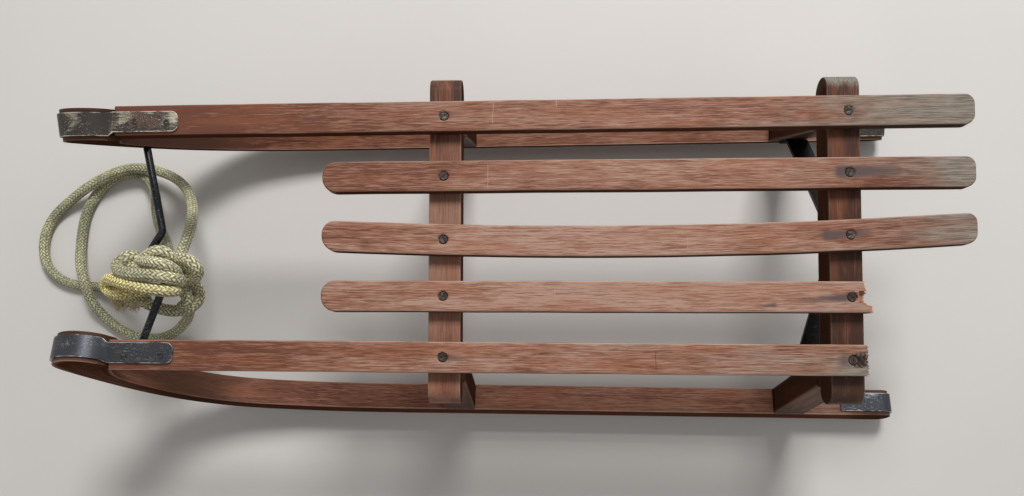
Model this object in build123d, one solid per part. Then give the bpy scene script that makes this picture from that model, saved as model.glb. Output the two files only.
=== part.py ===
from build123d import *
import math
import os

# An old wooden sled with two bent runners, steel shoes, two crossbars on four splayed legs,
# two side rails, three seat slats, a steel V brace, a steel tow rod and a rope knotted to it.
# Millimetres and degrees. +X runs to the rear, +Y to the far side and +Z up from the floor.
# The origin is on the floor, midway between the nose and the tail.

# Clearances
seat_gap = 0.1
tenon_gap = 0.2
rope_gap = 0.3

# Runners. Each lies in a plane that leans inwards and toes out to the rear.
# In that plane u runs to the rear from the front crossbar, and s up from the wood's bottom face.
runner_width = 33.7
runner_thick = 31.0
runner_lean = 13.9
runner_toe = 0.66
runner_half_track = 185.7
tail_u = 570.5
tail_corner = 12.0
bend_start_u = -101.8
lift_radius = 790.0
rise_radius = 178.0
arm_radius = 450.0
nose_radius = 33.0
# Columns: radius of the bottom face, slope of the runner where the bend ends
bends = (
    (lift_radius, 12.2),
    (rise_radius, 63.4),
    (arm_radius, 77.5),
    (nose_radius, 228.0),
)
neck_length = 7.1
nose_back_drop = 4.0
flare_slope = 68.0

# Steel shoes under the runners, round the noses and onto the rails
shoe_width = 24.5
shoe_thick = 2.5
shoe_tail_lap = 68.0
strap_width = 22.7
strap_length = 72.0
strap_corner = 8.0
strap_inset = 2.4

# Crossbars
bar_spacing = 434.8
bar_length = 362.8
bar_width = 35.2
bar_height = 33.6
bar_under = 191.4
bar_edge = 1.2

# Legs, in the planes of the runners
leg_width = 40.0
leg_tenon_width = 22.0
leg_tenon_thick = 12.0
bar_tenon_height = 16.0
foot_tenon_height = 12.0

# Rails and slats
slat_width = 33.4
slat_thick = 14.0
slat_edge = 1.2
screw_pocket = 11.0
screw_pocket_depth = 3.5
slat_front = -132.5
slat_rear = 567.5
slat_pitch_front = 65.3
slat_pitch_rear = 66.8
crook_middle = -5.8
crook_front = 2.2
crook_rear = 5.7
crook_at = 221.0
front_round = 15.5
rear_round = 11.0
rail_front_gap = 0.2
rail_front_spare = 3.0
rail_rear = 568.0
rail_near_rear = 447.0
slat_near_rear = 446.5

# Brace, a flat iron from the rear crossbar's underside to the feet of the rear legs
brace_width = 26.0
brace_thick = 4.0
brace_land = 40.0
brace_shift = 4.0
brace_foot_height = 44.0
brace_foot_length = 28.0
brace_bend = 9.0
brace_gap = 0.3

# Tow rod
rod_radius = 4.5
rod_height = 138.0
rod_near_bend_x = -421.0
rod_near_bend_y = -28.0
rod_notch_x = -446.0
rod_notch_y = -2.0
rod_far_bend_x = -428.8
rod_far_bend_y = 25.6
rod_near_slope = 0.366
rod_far_slope = -0.211
rod_bend_radius = 9.0
rod_insert = 14.0

# Rope
rope_radius = 6.5
knot_radius = 37.0
knot_length = 116.0
knot_centre = (-438.0, -30.0, 141.0)
arc_share = 0.45

lean = math.radians(runner_lean)
toe = math.radians(runner_toe)
sides = (("near", -1), ("far", 1))
slope_zero_z = shoe_thick * math.cos(lean) + (shoe_width / 2) * math.sin(lean) + seat_gap
bar_top = bar_under + bar_height
slat_under = bar_top + seat_gap
slat_top = slat_under + slat_thick


# The bends of the runner, each with its centre, as dictionaries
def worked_bends():
    rows = []
    u = bend_start_u
    s = 0.0
    slope = 0.0
    for radius, slope_end in bends:
        centre_u = u + radius * math.sin(math.radians(slope))
        centre_s = s + radius * math.cos(math.radians(slope))
        rows.append(
            {"centre": (centre_u, centre_s), "radius": radius, "from": slope, "to": slope_end}
        )
        u = centre_u - radius * math.sin(math.radians(slope_end))
        s = centre_s - radius * math.cos(math.radians(slope_end))
        slope = slope_end
    return rows


bend_rows = worked_bends()


# A point on a bend, at a slope, at an offset outside the wood's bottom face
def bend_point(row, slope, offset):
    angle = math.radians(slope)
    reach = row["radius"] + offset
    centre_u, centre_s = row["centre"]
    return (centre_u - reach * math.sin(angle), centre_s - reach * math.cos(angle))


def bend_arc(row, slope_a, slope_b, offset):
    return ThreePointArc(
        bend_point(row, slope_a, offset),
        bend_point(row, (slope_a + slope_b) / 2, offset),
        bend_point(row, slope_b, offset),
    )


nose_end_u = bend_point(bend_rows[-1], bend_rows[-1]["to"], 0)[0]
nose_back_u = nose_end_u + neck_length
nose_centre_u = bend_rows[-1]["centre"][0]
nose_tip_u = nose_centre_u - bend_rows[-1]["radius"] - shoe_thick - seat_gap
tail_tip_u = tail_u + seat_gap + shoe_thick
middle_u = (nose_tip_u + tail_tip_u) / 2
front_bar_x = -middle_u
rear_bar_x = front_bar_x + bar_spacing


def runner_plane(side):
    along = Vector(math.cos(toe), side * math.sin(toe), 0)
    inward = Vector(math.sin(toe), -side * math.cos(toe), 0)
    up = inward * math.sin(lean) + Vector(0, 0, math.cos(lean))
    origin = Vector(front_bar_x, side * runner_half_track, slope_zero_z)
    return Plane(origin=origin, x_dir=along, z_dir=along.cross(up))


# The path round the tail, along the bottom and up over the nose, at an offset outside the wood
def outer_path(offset, top_start_u):
    corner_u = tail_u - tail_corner
    reach = tail_corner + offset
    diagonal = reach * math.sqrt(0.5)
    top_corner_s = runner_thick - tail_corner
    edges = [
        Line((top_start_u, runner_thick + offset), (corner_u, runner_thick + offset)),
        ThreePointArc(
            (corner_u, runner_thick + offset),
            (corner_u + diagonal, top_corner_s + diagonal),
            (tail_u + offset, top_corner_s),
        ),
        Line((tail_u + offset, top_corner_s), (tail_u + offset, tail_corner)),
        ThreePointArc(
            (tail_u + offset, tail_corner),
            (corner_u + diagonal, tail_corner - diagonal),
            (corner_u, -offset),
        ),
        Line((corner_u, -offset), (bend_start_u, -offset)),
    ]
    for row in bend_rows:
        edges.append(bend_arc(row, row["from"], row["to"], offset))
    return edges


def in_runner_plane(side, solid):
    return runner_plane(side).location * solid


def foot_tenon(bar_u, gap):
    return Pos(bar_u, runner_thick, 0) * Box(
        leg_tenon_width + 2 * gap,
        2 * (foot_tenon_height + gap),
        leg_tenon_thick + 2 * gap,
    )


# The plain runner in its own plane, with the block at its nose that the rail butts on
def runner_blank():
    nose = bend_rows[-1]
    third = bend_rows[-2]
    nose_end = bend_point(nose, nose["to"], 0)
    outer_rise = (runner_width / 2) * math.sin(lean)
    back_top_s = (slat_top - nose_back_drop - outer_rise - slope_zero_z) / math.cos(lean)
    back_under_s = (slat_under - slope_zero_z) / math.cos(lean)
    flare_start = bend_point(third, flare_slope, -runner_thick)
    flare_angle = math.radians(flare_slope)
    edges = outer_path(0, bend_start_u)
    edges.append(Line(nose_end, (nose_back_u, back_top_s)))
    edges.append(Line((nose_back_u, back_top_s), (nose_back_u, back_under_s)))
    edges.append(
        TangentArc(
            flare_start,
            (nose_back_u, back_under_s),
            tangent=(-math.cos(flare_angle), math.sin(flare_angle)),
        )
    )
    edges.append(bend_arc(third, flare_slope, third["from"], -runner_thick))
    for row in reversed(bend_rows[:-2]):
        edges.append(bend_arc(row, row["to"], row["from"], -runner_thick))
    outline = make_face(edges)
    return extrude(outline, amount=runner_width / 2, both=True)


def make_runner(side):
    runner = runner_blank()
    for bar_u in (0, bar_spacing):
        runner -= foot_tenon(bar_u, tenon_gap)
    runner = in_runner_plane(side, runner)
    return runner - rod_arm(side, rod_radius + tenon_gap)


# The strap starts above the joint of rail and runner
def strap_start_x():
    return front_bar_x + nose_back_u + rail_front_gap


def rail_y(x, row):
    front_y, rear_y = row["front_y"], row["rear_y"]
    return front_y + (rear_y - front_y) * (x - front_bar_x) / bar_spacing


def four_sided(corners):
    return make_face(Polyline(*corners, close=True))


def make_shoe(side, rail):
    inner = outer_path(seat_gap, tail_u - shoe_tail_lap)
    outer = outer_path(seat_gap + shoe_thick, tail_u - shoe_tail_lap)
    edges = inner + outer
    edges.append(Line(inner[0] @ 0, outer[0] @ 0))
    edges.append(Line(inner[-1] @ 1, outer[-1] @ 1))
    band = extrude(make_face(edges), amount=shoe_width / 2, both=True)
    nose = bend_rows[-1]
    low = bend_point(nose, nose["to"], seat_gap)
    high = bend_point(nose, nose["to"], seat_gap + shoe_thick)
    half = shoe_width / 2
    band_end = four_sided(((*low, -half), (*low, half), (*high, half), (*high, -half)))
    start_x = strap_start_x()
    y = rail_y(start_x, rail) - side * strap_inset
    under = slat_top + seat_gap
    over = under + shoe_thick
    half = strap_width / 2
    strap_end = four_sided(
        (
            (start_x, y + half, under),
            (start_x, y - half, under),
            (start_x, y - half, over),
            (start_x, y + half, over),
        )
    )
    neck = loft([in_runner_plane(side, band_end), strap_end], ruled=True)
    turn = math.degrees(math.atan2(rail["rear_y"] - rail["front_y"], bar_spacing))
    plate = Rectangle(strap_length, strap_width, align=(Align.MIN, Align.CENTER))
    rear_corners = plate.vertices().group_by(Axis.X)[-1]
    plate = extrude(fillet(rear_corners, strap_corner), amount=shoe_thick)
    strap = Pos(start_x, y, under) * Rot(0, 0, turn) * plate
    return in_runner_plane(side, band) + neck + strap


def bar_tenon(side, bar_x, gap):
    y = side * leg_top_y(bar_x)
    return Pos(bar_x, y, bar_under) * Box(
        leg_tenon_width + 2 * gap,
        leg_tenon_thick + 2 * gap,
        2 * (bar_tenon_height + gap),
    )


def leg_top_y(bar_x):
    along = bar_x - front_bar_x
    foot_y = runner_half_track + along * math.tan(toe)
    return foot_y - (bar_under - slope_zero_z) * math.tan(lean)


def make_leg(side, bar_x):
    bar_u = bar_x - front_bar_x
    board_height = bar_under / math.cos(lean)
    board = Pos(bar_u, runner_thick + seat_gap, 0) * Box(
        leg_width,
        board_height,
        runner_width,
        align=(Align.CENTER, Align.MIN, Align.CENTER),
    )
    board = in_runner_plane(side, board)
    above = Pos(bar_x, side * leg_top_y(bar_x), bar_under - seat_gap) * Box(
        2 * leg_width,
        4 * runner_width,
        board_height,
        align=(Align.CENTER, Align.CENTER, Align.MIN),
    )
    leg = board - above
    upper = bar_tenon(side, bar_x, 0)
    lower = in_runner_plane(side, foot_tenon(bar_u, 0))
    return leg + upper + lower


def make_crossbar(bar_x):
    profile = Plane.YZ * SlotOverall(bar_length, bar_height)
    bar = extrude(profile, amount=bar_width / 2, both=True)
    end_edges = bar.edges().group_by(Axis.X)
    bar = chamfer(end_edges[0] + end_edges[-1], bar_edge)
    bar = Pos(bar_x, 0, bar_under + bar_height / 2) * bar
    for side in (-1, 1):
        bar -= bar_tenon(side, bar_x, tenon_gap)
    return bar


# A board on the crossbars. Its outline is laid along X from the front crossbar.
def make_board(row):
    front_x = row["front"]
    rear_x = row["rear"]
    half = slat_width / 2
    bow = row["bow"]
    front_y = row["front_y"] + (row["rear_y"] - row["front_y"]) * front_x / bar_spacing
    rear_y = row["front_y"] + (row["rear_y"] - row["front_y"]) * rear_x / bar_spacing
    jags = [(rear_x + x, rear_y + y * half) for x, y in row["jags"]]
    near_front = (front_x, front_y - half)
    far_front = (front_x, front_y + half)
    near_rear = jags[0] if jags else (rear_x, rear_y - half)
    far_rear = jags[-1] if jags else (rear_x, rear_y + half)
    if bow:
        near_side = ThreePointArc(near_front, (crook_at, bow - half), near_rear)
        far_side = ThreePointArc(far_rear, (crook_at, bow + half), far_front)
    else:
        near_side = Line(near_front, near_rear)
        far_side = Line(far_rear, far_front)
    end = Polyline(*jags) if jags else Line(near_rear, far_rear)
    outline = make_face([near_side, end, far_side, Line(far_front, near_front)])
    corners = outline.vertices().sort_by(Axis.X)
    if row["front_round"]:
        outline = fillet(corners[:2], row["front_round"])
    if not jags:
        corners = outline.vertices().sort_by(Axis.X)
        outline = fillet(corners[-2:], rear_round)
    board = extrude(outline, amount=slat_thick)
    top_and_bottom = board.edges().group_by(Axis.Z)
    long_edges = [
        edge
        for edge in top_and_bottom[0] + top_and_bottom[-1]
        if edge.length > slat_width * 2
    ]
    board = chamfer(long_edges, slat_edge)
    for screw_x in (0, bar_spacing):
        share = screw_x / bar_spacing
        screw_y = row["front_y"] + (row["rear_y"] - row["front_y"]) * share
        pocket = Pos(screw_x, screw_y, slat_thick) * Cylinder(
            screw_pocket / 2, 2 * screw_pocket_depth
        )
        board -= pocket
    return Pos(front_bar_x, 0, slat_under) * board


rail_front = nose_back_u - rail_front_spare
rail_y_front = 131.05
rail_y_rear = 133.9
# The broken ends, from the near edge to the far one: mm past the end, share of the half width
slat_break = (
    (9.0, -1.0),
    (9.4, -0.62),
    (2.0, -0.56),
    (-1.5, -0.36),
    (3.5, -0.2),
    (4.0, 0.05),
    (-5.0, 0.12),
    (-7.0, 0.3),
    (2.5, 0.38),
    (4.5, 0.52),
    (0.0, 1.0),
)
rail_break = (
    (2.0, -1.0),
    (4.0, -0.6),
    (2.5, -0.3),
    (4.5, 0.0),
    (1.5, 0.25),
    (3.5, 0.6),
    (2.0, 1.0),
)
board_rows = {
    "rail_near": {
        "front": rail_front, "rear": rail_near_rear, "front_y": -rail_y_front, "rear_y": -rail_y_rear,
        "bow": 0, "front_round": 0, "jags": rail_break,
    },
    "rail_far": {
        "front": rail_front, "rear": rail_rear, "front_y": rail_y_front, "rear_y": rail_y_rear,
        "bow": 0, "front_round": 0, "jags": (),
    },
    "slat_far": {
        "front": slat_front, "rear": slat_rear, "front_y": slat_pitch_front,
        "rear_y": slat_pitch_rear, "bow": 0, "front_round": front_round, "jags": (),
    },
    "slat_middle": {
        "front": slat_front, "rear": slat_rear, "front_y": crook_front,
        "rear_y": crook_rear, "bow": crook_middle, "front_round": front_round, "jags": (),
    },
    "slat_near": {
        "front": slat_front, "rear": slat_near_rear, "front_y": -slat_pitch_front,
        "rear_y": -slat_pitch_rear, "bow": 0, "front_round": front_round, "jags": slat_break,
    },
}


# A rail is a board whose front end is cut to butt on the block at its runner's nose
def make_rail(side, row):
    cut = Pos(nose_back_u + rail_front_gap, 0, 0) * Box(
        2 * slat_width,
        4 * bar_under,
        4 * slat_width,
        align=(Align.MAX, Align.CENTER, Align.CENTER),
    )
    return make_board(row) - in_runner_plane(side, cut)


rod_near_bend = (rod_near_bend_x, rod_near_bend_y)
rod_notch = (rod_notch_x, rod_notch_y)
rod_far_bend = (rod_far_bend_x, rod_far_bend_y)


# A straight length of the tow rod's arm, from its bend into the runner
def arm_points(side):
    bend = rod_far_bend if side > 0 else rod_near_bend
    slope = rod_far_slope if side > 0 else rod_near_slope
    wood_y = runner_half_track + (bend[0] - front_bar_x) * math.tan(toe)
    wood_y -= (rod_height - slope_zero_z) * math.tan(lean)
    face_y = wood_y - runner_width / 2 / math.cos(lean)
    end_y = side * (face_y + rod_insert)
    end_x = bend[0] + slope * (end_y - bend[1])
    return bend, (end_x, end_y)


def rod_arm(side, radius):
    bend, end = arm_points(side)
    start = Vector(bend[0], bend[1], rod_height)
    way = Vector(end[0], end[1], rod_height) - start
    plane = Plane(origin=start, z_dir=way)
    height = way.length + tenon_gap
    return plane.location * Cylinder(
        radius, height, align=(Align.CENTER, Align.CENTER, Align.MIN)
    )


def make_rod(radius):
    near_end = arm_points(-1)[1]
    far_end = arm_points(1)[1]
    route = [near_end, rod_near_bend, rod_notch, rod_far_bend, far_end]
    points = [(x, y, rod_height) for x, y in route]
    path = FilletPolyline(*points, radius=rod_bend_radius)
    start = Plane(origin=path @ 0, z_dir=path % 0)
    return sweep(start * Circle(radius), path=path)


# The brace lands under the rear crossbar, and its feet lie on the inner faces of the rear legs
def make_brace():
    face_low = runner_half_track + bar_spacing * math.tan(toe)
    face_low -= runner_width / 2 / math.cos(lean)
    middle_low = face_low - (brace_thick / 2 + brace_gap) / math.cos(lean)

    def foot_point(z):
        return (middle_low - (z - slope_zero_z) * math.tan(lean), z)

    foot = foot_point(brace_foot_height)
    knee = foot_point(brace_foot_height + brace_foot_length * math.cos(lean))
    land = (brace_land / 2, bar_under - seat_gap - brace_thick / 2)
    route = [foot, knee, land]
    route = [(-y, z) for y, z in route] + list(reversed(route))
    x = rear_bar_x + brace_shift
    path = FilletPolyline(*[(x, y, z) for y, z in route], radius=brace_bend)
    start = Plane(origin=path @ 0, x_dir=(1, 0, 0), z_dir=path % 0)
    return sweep(start * Rectangle(brace_width, brace_thick), path=path)


# The rope's two lengths. Each runs from the knot round the floor and back to the knot, and they
# cross twice: the outer one lies over the inner at the far side, and under it at the near one.
rope_routes = {
    "rope_outer": (
        (-408, -10, 139), (-406, 8, 131), (-407, 28, 115), (-414, 55, 90), (-428, 82, 64),
        (-446, 105, 44), (-468, 122, 30), (-493, 133, 24), (-517, 138, 23.5), (-541, 137, 23.5),
        (-566, 128, 23.5), (-596, 112, 21.5), (-628, 94, 11), (-653, 73, 6.5), (-664, 49, 6.5),
        (-666, 25, 6.5), (-660, 2, 6.5), (-643, -15, 6.5), (-619, -24, 6.5), (-590, -26, 7.5),
        (-562, -29, 22), (-533, -30, 46), (-504, -27, 80), (-482, -27, 108),
    ),
    "rope_inner": (
        (-419, -9, 138), (-429, 8, 124), (-449, 30, 98), (-470, 56, 72), (-487, 87, 43.5),
        (-502, 112, 22), (-521, 129, 9.5), (-547, 135.5, 6.5), (-573, 126, 6.5), (-591, 107, 6.5),
        (-604, 84, 6.5), (-610, 57, 6.5), (-611, 30, 8.5), (-606, 3, 17.5), (-594, -22, 25.3),
        (-587, -48, 21.3), (-575, -68, 9.5), (-555, -86, 6.5), (-530, -97, 6.5),
        (-503, -100, 6.5), (-476, -94, 13), (-451, -81, 30), (-431, -67, 56), (-417, -56, 88),
        (-411, -47, 118),
    ),
}


# An arc at each corner of a route, as large as the two runs beside it allow
def route_radii(points):
    radii = []
    for before, corner, after in zip(points, points[1:], points[2:]):
        run_in = Vector(*corner) - Vector(*before)
        run_out = Vector(*after) - Vector(*corner)
        half_turn = math.radians(run_in.get_angle(run_out)) / 2
        shorter = min(run_in.length, run_out.length)
        radii.append(arc_share * shorter / math.tan(half_turn))
    return radii


def knot_blank(gap):
    middle = knot_length - 2 * knot_radius
    radius = knot_radius + gap
    blank = Rot(0, 90, 0) * Cylinder(radius, middle)
    blank += Pos(middle / 2, 0, 0) * Sphere(radius)
    blank += Pos(-middle / 2, 0, 0) * Sphere(radius)
    return Pos(*knot_centre) * blank


def make_knot():
    return knot_blank(0) - make_rod(rod_radius + rope_gap)


def make_rope(name):
    points = rope_routes[name]
    radii = route_radii(points)
    path = FilletPolyline(*points, radius=radii)
    start = Plane(origin=path @ 0, z_dir=path % 0)
    tube = sweep(start * Circle(rope_radius), path=path)
    section = math.pi * rope_radius**2
    print(name, "radii", [round(radius) for radius in radii])
    print(name, "volume", round(tube.volume), "section by length", round(section * path.length))
    outside = tube - knot_blank(rope_gap)
    print(name, "visible length", round(outside.volume / section))
    return outside


def all_parts():
    parts = {}
    for name, side in sides:
        parts["runner_" + name] = make_runner(side)
        parts["shoe_" + name] = make_shoe(side, board_rows["rail_" + name])
        parts["leg_front_" + name] = make_leg(side, front_bar_x)
        parts["leg_rear_" + name] = make_leg(side, rear_bar_x)
        rail = "rail_" + name
        parts[rail] = make_rail(side, board_rows[rail])
    parts["crossbar_front"] = make_crossbar(front_bar_x)
    parts["crossbar_rear"] = make_crossbar(rear_bar_x)
    for name in ("slat_far", "slat_middle", "slat_near"):
        parts[name] = make_board(board_rows[name])
    parts["brace"] = make_brace()
    parts["tow_rod"] = make_rod(rod_radius)
    parts["rope_knot"] = make_knot()
    for name in rope_routes:
        parts[name] = make_rope(name)
    return parts


os.makedirs("parts", exist_ok=True)
for part_name, part in all_parts().items():
    export_step(part, "parts/" + part_name + ".step")
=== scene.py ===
import math
import random

import bmesh
import bpy
from mathutils import Matrix, Vector, kdtree, noise


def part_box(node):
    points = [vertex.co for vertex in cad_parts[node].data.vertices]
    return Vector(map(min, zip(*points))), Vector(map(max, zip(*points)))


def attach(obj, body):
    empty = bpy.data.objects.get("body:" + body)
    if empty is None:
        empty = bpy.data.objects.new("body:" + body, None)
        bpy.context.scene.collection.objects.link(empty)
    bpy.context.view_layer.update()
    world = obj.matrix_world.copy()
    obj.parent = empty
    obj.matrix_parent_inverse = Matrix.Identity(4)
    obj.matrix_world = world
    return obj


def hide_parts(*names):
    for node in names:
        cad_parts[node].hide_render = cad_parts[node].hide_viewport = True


# An old wooden sled seen from above: bent runners with steel shoes, slats, rails, a V brace,
# a tow rod and a braided rope knotted round it. Metres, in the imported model's frame.

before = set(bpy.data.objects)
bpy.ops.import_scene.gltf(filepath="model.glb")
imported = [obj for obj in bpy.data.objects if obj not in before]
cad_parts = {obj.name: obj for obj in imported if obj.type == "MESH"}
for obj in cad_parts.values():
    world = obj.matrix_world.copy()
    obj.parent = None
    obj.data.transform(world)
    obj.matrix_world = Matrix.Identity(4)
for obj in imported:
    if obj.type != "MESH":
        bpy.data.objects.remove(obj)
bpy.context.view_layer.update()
scene = bpy.context.scene
scene.view_settings.view_transform = "Standard"
mm = 0.001  # one millimetre


def middle(node):
    low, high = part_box(node)
    return (low + high) / 2


frontBarX = middle("crossbar_front").x
rearBarX = middle("crossbar_rear").x
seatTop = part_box("slat_far")[1].z
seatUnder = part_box("slat_far")[0].z

# Meshes and objects


def meshOf(name, bm):
    mesh = bpy.data.meshes.new(name)
    bm.to_mesh(mesh)
    bm.free()
    return mesh


def joinInto(whole, bm):
    mesh = meshOf("part", bm)
    whole.from_mesh(mesh)
    bpy.data.meshes.remove(mesh)


def addObject(name, data):
    made = bpy.data.objects.new(name, data)
    scene.collection.objects.link(made)
    return made


# Camera, at the photograph's place and angle

cameraSettings = {
    "place": (0.0246, -0.1523, 1.0291),
    "turn": (-0.0448, -0.0270, -0.0018),
    "lens": 26.05,
    "sensor": 36,
    "shiftY": 0.0938,
    "clip": (0.02, 30),
}


def addCamera(settings):
    data = bpy.data.cameras.new("camera")
    data.sensor_width = settings["sensor"]
    data.lens = settings["lens"]
    data.shift_y = settings["shiftY"]
    data.clip_start, data.clip_end = settings["clip"]
    aboutX, aboutY, aboutZ = settings["turn"]
    turn = Matrix.Rotation(aboutX, 4, "X") @ Matrix.Rotation(aboutY, 4, "Y")
    turn = turn @ Matrix.Rotation(aboutZ, 4, "Z")
    scene.camera = addObject("camera", data)
    scene.camera.matrix_world = Matrix.Translation(settings["place"]) @ turn.transposed()


addCamera(cameraSettings)
print("camera placed")

# Shader values: each holds a node's socket, and is added, multiplied and shaped like a number


class Value:
    def __init__(self, socket):
        self.socket = socket

    def __add__(self, other):
        return sums("ADD", self, other)

    def __sub__(self, other):
        return sums("SUBTRACT", self, other)

    def __rsub__(self, other):
        return sums("SUBTRACT", other, self)

    def __mul__(self, other):
        return sums("MULTIPLY", self, other)

    def __abs__(self):
        return sums("ABSOLUTE", self)


def treeOf(*values):
    return next(value.socket.id_data for value in values if isinstance(value, Value))


def setInputs(node, inputs):
    for key, value in inputs.items():
        if isinstance(value, Value):
            node.id_data.links.new(value.socket, node.inputs[key])
        else:
            node.inputs[key].default_value = value


def addNode(tree, kind, inputs=None, output=0, **values):
    made = tree.nodes.new("ShaderNode" + kind)
    for key, value in values.items():
        setattr(made, key, value)
    setInputs(made, inputs or {})
    return Value(made.outputs[output])


def sums(operation, first, second=0.0, clamp=False):
    inputs = {0: first, 1: second}
    return addNode(treeOf(first, second), "Math", inputs, operation=operation, use_clamp=clamp)


def ramp(value, low, high, start=0.0, end=1.0):
    inputs = {"Value": value, "From Min": low, "From Max": high, "To Min": start, "To Max": end}
    return addNode(treeOf(value), "MapRange", inputs, interpolation_type="SMOOTHSTEP")


# A ramp that goes as far below nothing as above it
def swing(value, low, high, most):
    return ramp(value, low, high, -most, most)


def mixColour(share, first, second, blend="MIX"):
    inputs = {0: share}
    for index, colour in ((6, first), (7, second)):
        inputs[index] = (*colour, 1) if isinstance(colour, tuple) else colour
    tree = treeOf(share, first, second)
    return addNode(tree, "Mix", inputs, 2, data_type="RGBA", blend_type=blend)


def stretched(vector, scale, shift=(0, 0, 0)):
    inputs = {"Vector": vector, "Scale": scale, "Location": shift}
    return addNode(treeOf(vector), "Mapping", inputs)


def cloud(vector, scale=1.0, detail=3.0, rough=0.5, distortion=0.0):
    inputs = {"Vector": vector, "Scale": scale, "Detail": detail, "Roughness": rough}
    inputs["Distortion"] = distortion
    return addNode(treeOf(vector), "TexNoise", inputs)


def lengthOf(vector):
    return addNode(treeOf(vector), "VectorMath", {0: vector}, "Value", operation="LENGTH")


def axes(vector):
    made = treeOf(vector).nodes.new("ShaderNodeSeparateXYZ")
    setInputs(made, {0: vector})
    return [Value(socket) for socket in made.outputs]


def attribute(tree, name):
    return addNode(tree, "Attribute", output="Vector", attribute_name=name)


def bump(height, strength, distance):
    inputs = {"Height": height, "Strength": strength, "Distance": distance}
    return addNode(treeOf(height), "Bump", inputs)


def startMaterial(name):
    material = bpy.data.materials.new(name)
    material.use_nodes = True
    tree = material.node_tree
    return material, tree, tree.nodes["Principled BSDF"]


# Floor, lamps and world

stageSettings = {
    "floorSize": 40.0,
    "floorColour": (0.66, 0.63, 0.6),
    "floorShade": 0.96,
    "floorRoughness": 0.75,
    "skyLight": 0.33,
    "backdrop": (0.8, 0.79, 0.78),
    "lampAim": (0, 0, 0.1),
}
# Place, size and power of each lamp
lamps = {
    "key": ((0.5, 2.2, 2.8), 1.1, 106.0),
    "fill": ((1.8, -1.4, 2.2), 1.8, 2.5),
}


def addFloor(settings):
    bm = bmesh.new()
    bmesh.ops.create_grid(bm, x_segments=1, y_segments=1, size=settings["floorSize"])
    floor = addObject("floor", meshOf("floor", bm))
    material, tree, shader = startMaterial("floorPale")
    patches = ramp(cloud(addNode(tree, "TexCoord", output="Object"), 2.5, 4), 0.3, 0.7)
    pale = settings["floorColour"]
    darker = tuple(part * settings["floorShade"] for part in pale)
    colour = mixColour(patches, darker, pale)
    setInputs(shader, {"Base Color": colour, "Roughness": settings["floorRoughness"]})
    floor.data.materials.append(material)


def addLamp(name, place, size, power):
    data = bpy.data.lights.new(name, "AREA")
    data.size = size
    data.energy = power
    aim = Vector(stageSettings["lampAim"]) - Vector(place)
    turn = aim.to_track_quat("-Z", "Y").to_matrix().to_4x4()
    addObject(name, data).matrix_world = Matrix.Translation(place) @ turn


def addWorld(settings):
    scene.world = bpy.data.worlds.new("studio")
    scene.world.use_nodes = True
    tree = scene.world.node_tree
    tree.nodes.clear()
    light = addNode(tree, "Background", {"Color": (1, 1, 1, 1), "Strength": settings["skyLight"]})
    seen = addNode(tree, "Background", {"Color": (*settings["backdrop"], 1), "Strength": 1.0})
    path = tree.nodes.new("ShaderNodeLightPath")
    camera, glossy, clear = [
        Value(path.outputs[name]) for name in ("Is Camera Ray", "Is Glossy Ray", "Is Transmission Ray")
    ]
    shown = sums("MAXIMUM", sums("MAXIMUM", camera, glossy), clear)
    mixed = addNode(tree, "MixShader", {0: shown, 1: light, 2: seen})
    setInputs(tree.nodes.new("ShaderNodeOutputWorld"), {"Surface": mixed})


addFloor(stageSettings)
for name, row in lamps.items():
    addLamp(name, *row)
addWorld(stageSettings)
print("stage and lamps placed")

# Finished pieces, and the tools that shape them


def addPiece(name, bm, material, nodes=(), weighed=True):
    piece = addObject(name, meshOf(name, bm))
    piece.data.materials.append(material)
    for face in piece.data.polygons:
        face.use_smooth = True
    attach(piece, "root")
    if nodes:
        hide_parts(*nodes)
    if weighed:
        modifier = piece.modifiers.new("normals", "WEIGHTED_NORMAL")
        modifier.keep_sharp = True
        modifier.weight = 80
    return piece


def block(size, centre):
    bm = bmesh.new()
    bmesh.ops.create_cube(bm, size=1)
    bmesh.ops.scale(bm, vec=size, verts=bm.verts)
    bmesh.ops.translate(bm, vec=centre, verts=bm.verts)
    return bm


def edgesAlong(bm, axis):
    return [edge for edge in bm.edges if abs(edge.verts[0].co[axis] - edge.verts[1].co[axis]) > 1]


# The edges of the faces that look along an axis
def rimEdges(bm, axis):
    return [edge for edge in bm.edges if any(abs(face.normal[axis]) > 0.9 for face in edge.link_faces)]


def bevelEdges(bm, edges, size, segments):
    bmesh.ops.bevel(
        bm, geom=edges, offset=size, offset_type="OFFSET", affect="EDGES", segments=segments,
        profile=0.5, material=-1, clamp_overlap=True,
    )


def cutAt(bm, spot, normal, near=1e-6, **sides):
    everything = bm.verts[:] + bm.edges[:] + bm.faces[:]
    return bmesh.ops.bisect_plane(bm, geom=everything, dist=near, plane_co=spot, plane_no=normal, **sides)


def cutAcross(bm, places, normal=(1, 0, 0)):
    for place in places:
        cutAt(bm, Vector(normal) * place, normal)


# Takes away all that lies on one side of a plane, and closes the cut
def cutAway(bm, spot, normal, **sides):
    cut = cutAt(bm, spot, normal, 1e-7, **sides)
    edges = [part for part in cut["geom_cut"] if isinstance(part, bmesh.types.BMEdge)]
    bmesh.ops.holes_fill(bm, edges=edges, sides=0)


def limited(share):
    return min(1.0, max(0.0, share))


def smoothStep(value, low, high):
    share = limited((value - low) / (high - low))
    return share * share * (3 - 2 * share)


def steps(start, end, count):
    return [start + (end - start) * step / count for step in range(count + 1)]


def between(three, share):
    first, second, third = three
    if share < 0.5:
        return first + (second - first) * smoothStep(share, 0.0, 0.5)
    return second + (third - second) * smoothStep(share, 0.5, 1.0)


# The leaning plane of each runner: u runs to the rear from the front crossbar, s runs up from
# the wood's bottom face, both in millimetres, and the third axis runs across the runner

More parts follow.
